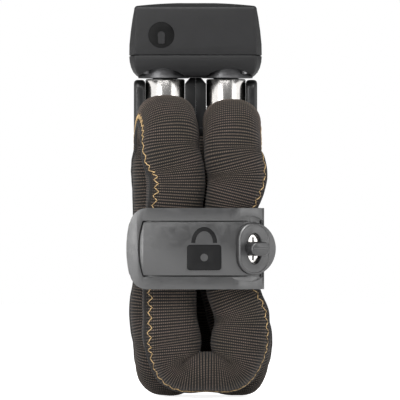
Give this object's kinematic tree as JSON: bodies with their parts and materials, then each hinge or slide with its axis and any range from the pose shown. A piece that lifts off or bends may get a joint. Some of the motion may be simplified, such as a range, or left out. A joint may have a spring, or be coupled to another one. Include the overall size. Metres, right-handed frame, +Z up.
{
  "type": "folding chain lock",
  "caption": "Sleeved hardened chain folded into a compact bundle, with a two-pin lock head on top and a rubber strap closed by a quarter-turn fastener.",
  "frame": {"origin": "centre of the flat back of the strap band", "axes": "+Z up along the bundle towards the lock head, -Y towards the front with the fastener, +X to the right seen from the front"},
  "size_m": [0.0803, 0.1093, 0.21],
  "materials": {
    "casing": "fine-grained satin black moulding",
    "yoke": "satin black moulding",
    "polished": "polished steel",
    "dark_steel": "satin dark plated steel",
    "hardened": "hardened steel, plated",
    "brass": "turned brass",
    "fabric": "dark brown ribbed knitted sleeve with contrast zigzag stitching",
    "strap": "satin dark grey moulded rubber",
    "seal": "black rubber",
    "fastener": "semi-gloss black moulding"
  },
  "bodies": {
    "bundle": {"chain_run_back_left": "hardened", "chain_run_middle_left": "hardened", "chain_run_front_left": "hardened", "chain_run_back_right": "hardened", "chain_run_middle_right": "hardened", "chain_run_front_right": "hardened", "fold_link_bottom_left": "hardened", "fold_link_top_left": "hardened", "fold_link_bottom_right": "hardened", "fold_link_top_right": "hardened", "fold_link_front": "hardened", "chain_eye_left": "hardened", "chain_eye_right": "hardened", "chain_sleeve": "fabric", "yoke_left": "yoke", "yoke_pin_left": "hardened", "barrel_core_left": "hardened", "barrel_shell_left": "polished", "pin_seal_left": "seal", "yoke_right": "yoke", "yoke_pin_right": "hardened", "barrel_core_right": "hardened", "barrel_shell_right": "polished", "pin_seal_right": "seal", "strap_band": "strap", "turn_base_cup": "dark_steel", "receiver_plate": "dark_steel"},
    "head": {"head_cover": "casing", "head_skirt": "casing", "lock_body": "hardened", "cylinder_housing": "brass", "socket_ring_left": "dark_steel", "socket_ring_right": "dark_steel", "skirt_screw_1": "dark_steel", "skirt_screw_2": "dark_steel", "skirt_screw_3": "dark_steel", "skirt_screw_4": "dark_steel"},
    "key_plug": {"key_plug": "brass", "lock_cam": "hardened"},
    "bolt_left": {"locking_bolt_left": "hardened"},
    "bolt_right": {"locking_bolt_right": "hardened"},
    "keyhole_cover": {"keyhole_cover": "fastener"},
    "tongue": {"strap_tongue": "strap", "turn_plate": "fastener", "turn_disc": "polished"},
    "knob": {"turn_knob": "fastener", "turn_toe": "hardened"}
  },
  "joints": [
    {"name": "head_lift", "type": "slide", "parent": "bundle", "child": "head", "axis": [0, 0, 1], "range_m": [0, 0.028]},
    {"name": "key_turn", "type": "hinge", "parent": "head", "child": "key_plug", "pos_m": [0, -0.0181, 0.116], "axis": [0, 0, 1], "range_deg": [0, 90]},
    {"name": "bolt_left_slide", "type": "slide", "parent": "head", "child": "bolt_left", "axis": [-1, 0, 0], "range_m": [0, 0.0031]},
    {"name": "bolt_right_slide", "type": "slide", "parent": "head", "child": "bolt_right", "axis": [1, 0, 0], "range_m": [0, 0.0031]},
    {"name": "keyhole_cover_slide", "type": "slide", "parent": "head", "child": "keyhole_cover", "axis": [1, 0, 0], "range_m": [0, 0.012]},
    {"name": "tongue_swing", "type": "hinge", "parent": "bundle", "child": "tongue", "pos_m": [-0.0305, -0.0983, 0], "axis": [0, 0, -1], "range_deg": [0, 110], "stiffness_Nm_per_rad": 0.02},
    {"name": "knob_turn", "type": "hinge", "parent": "tongue", "child": "knob", "pos_m": [0.0296, -0.0957, 0], "axis": [0.4226, -0.9063, 0], "range_deg": [0, 90]}
  ],
  "couplings": [
    {"joint": "bolt_left_slide", "follows": "key_turn", "m_per_rad": 0.0019099},
    {"joint": "bolt_right_slide", "follows": "key_turn", "m_per_rad": 0.0019099}
  ]
}
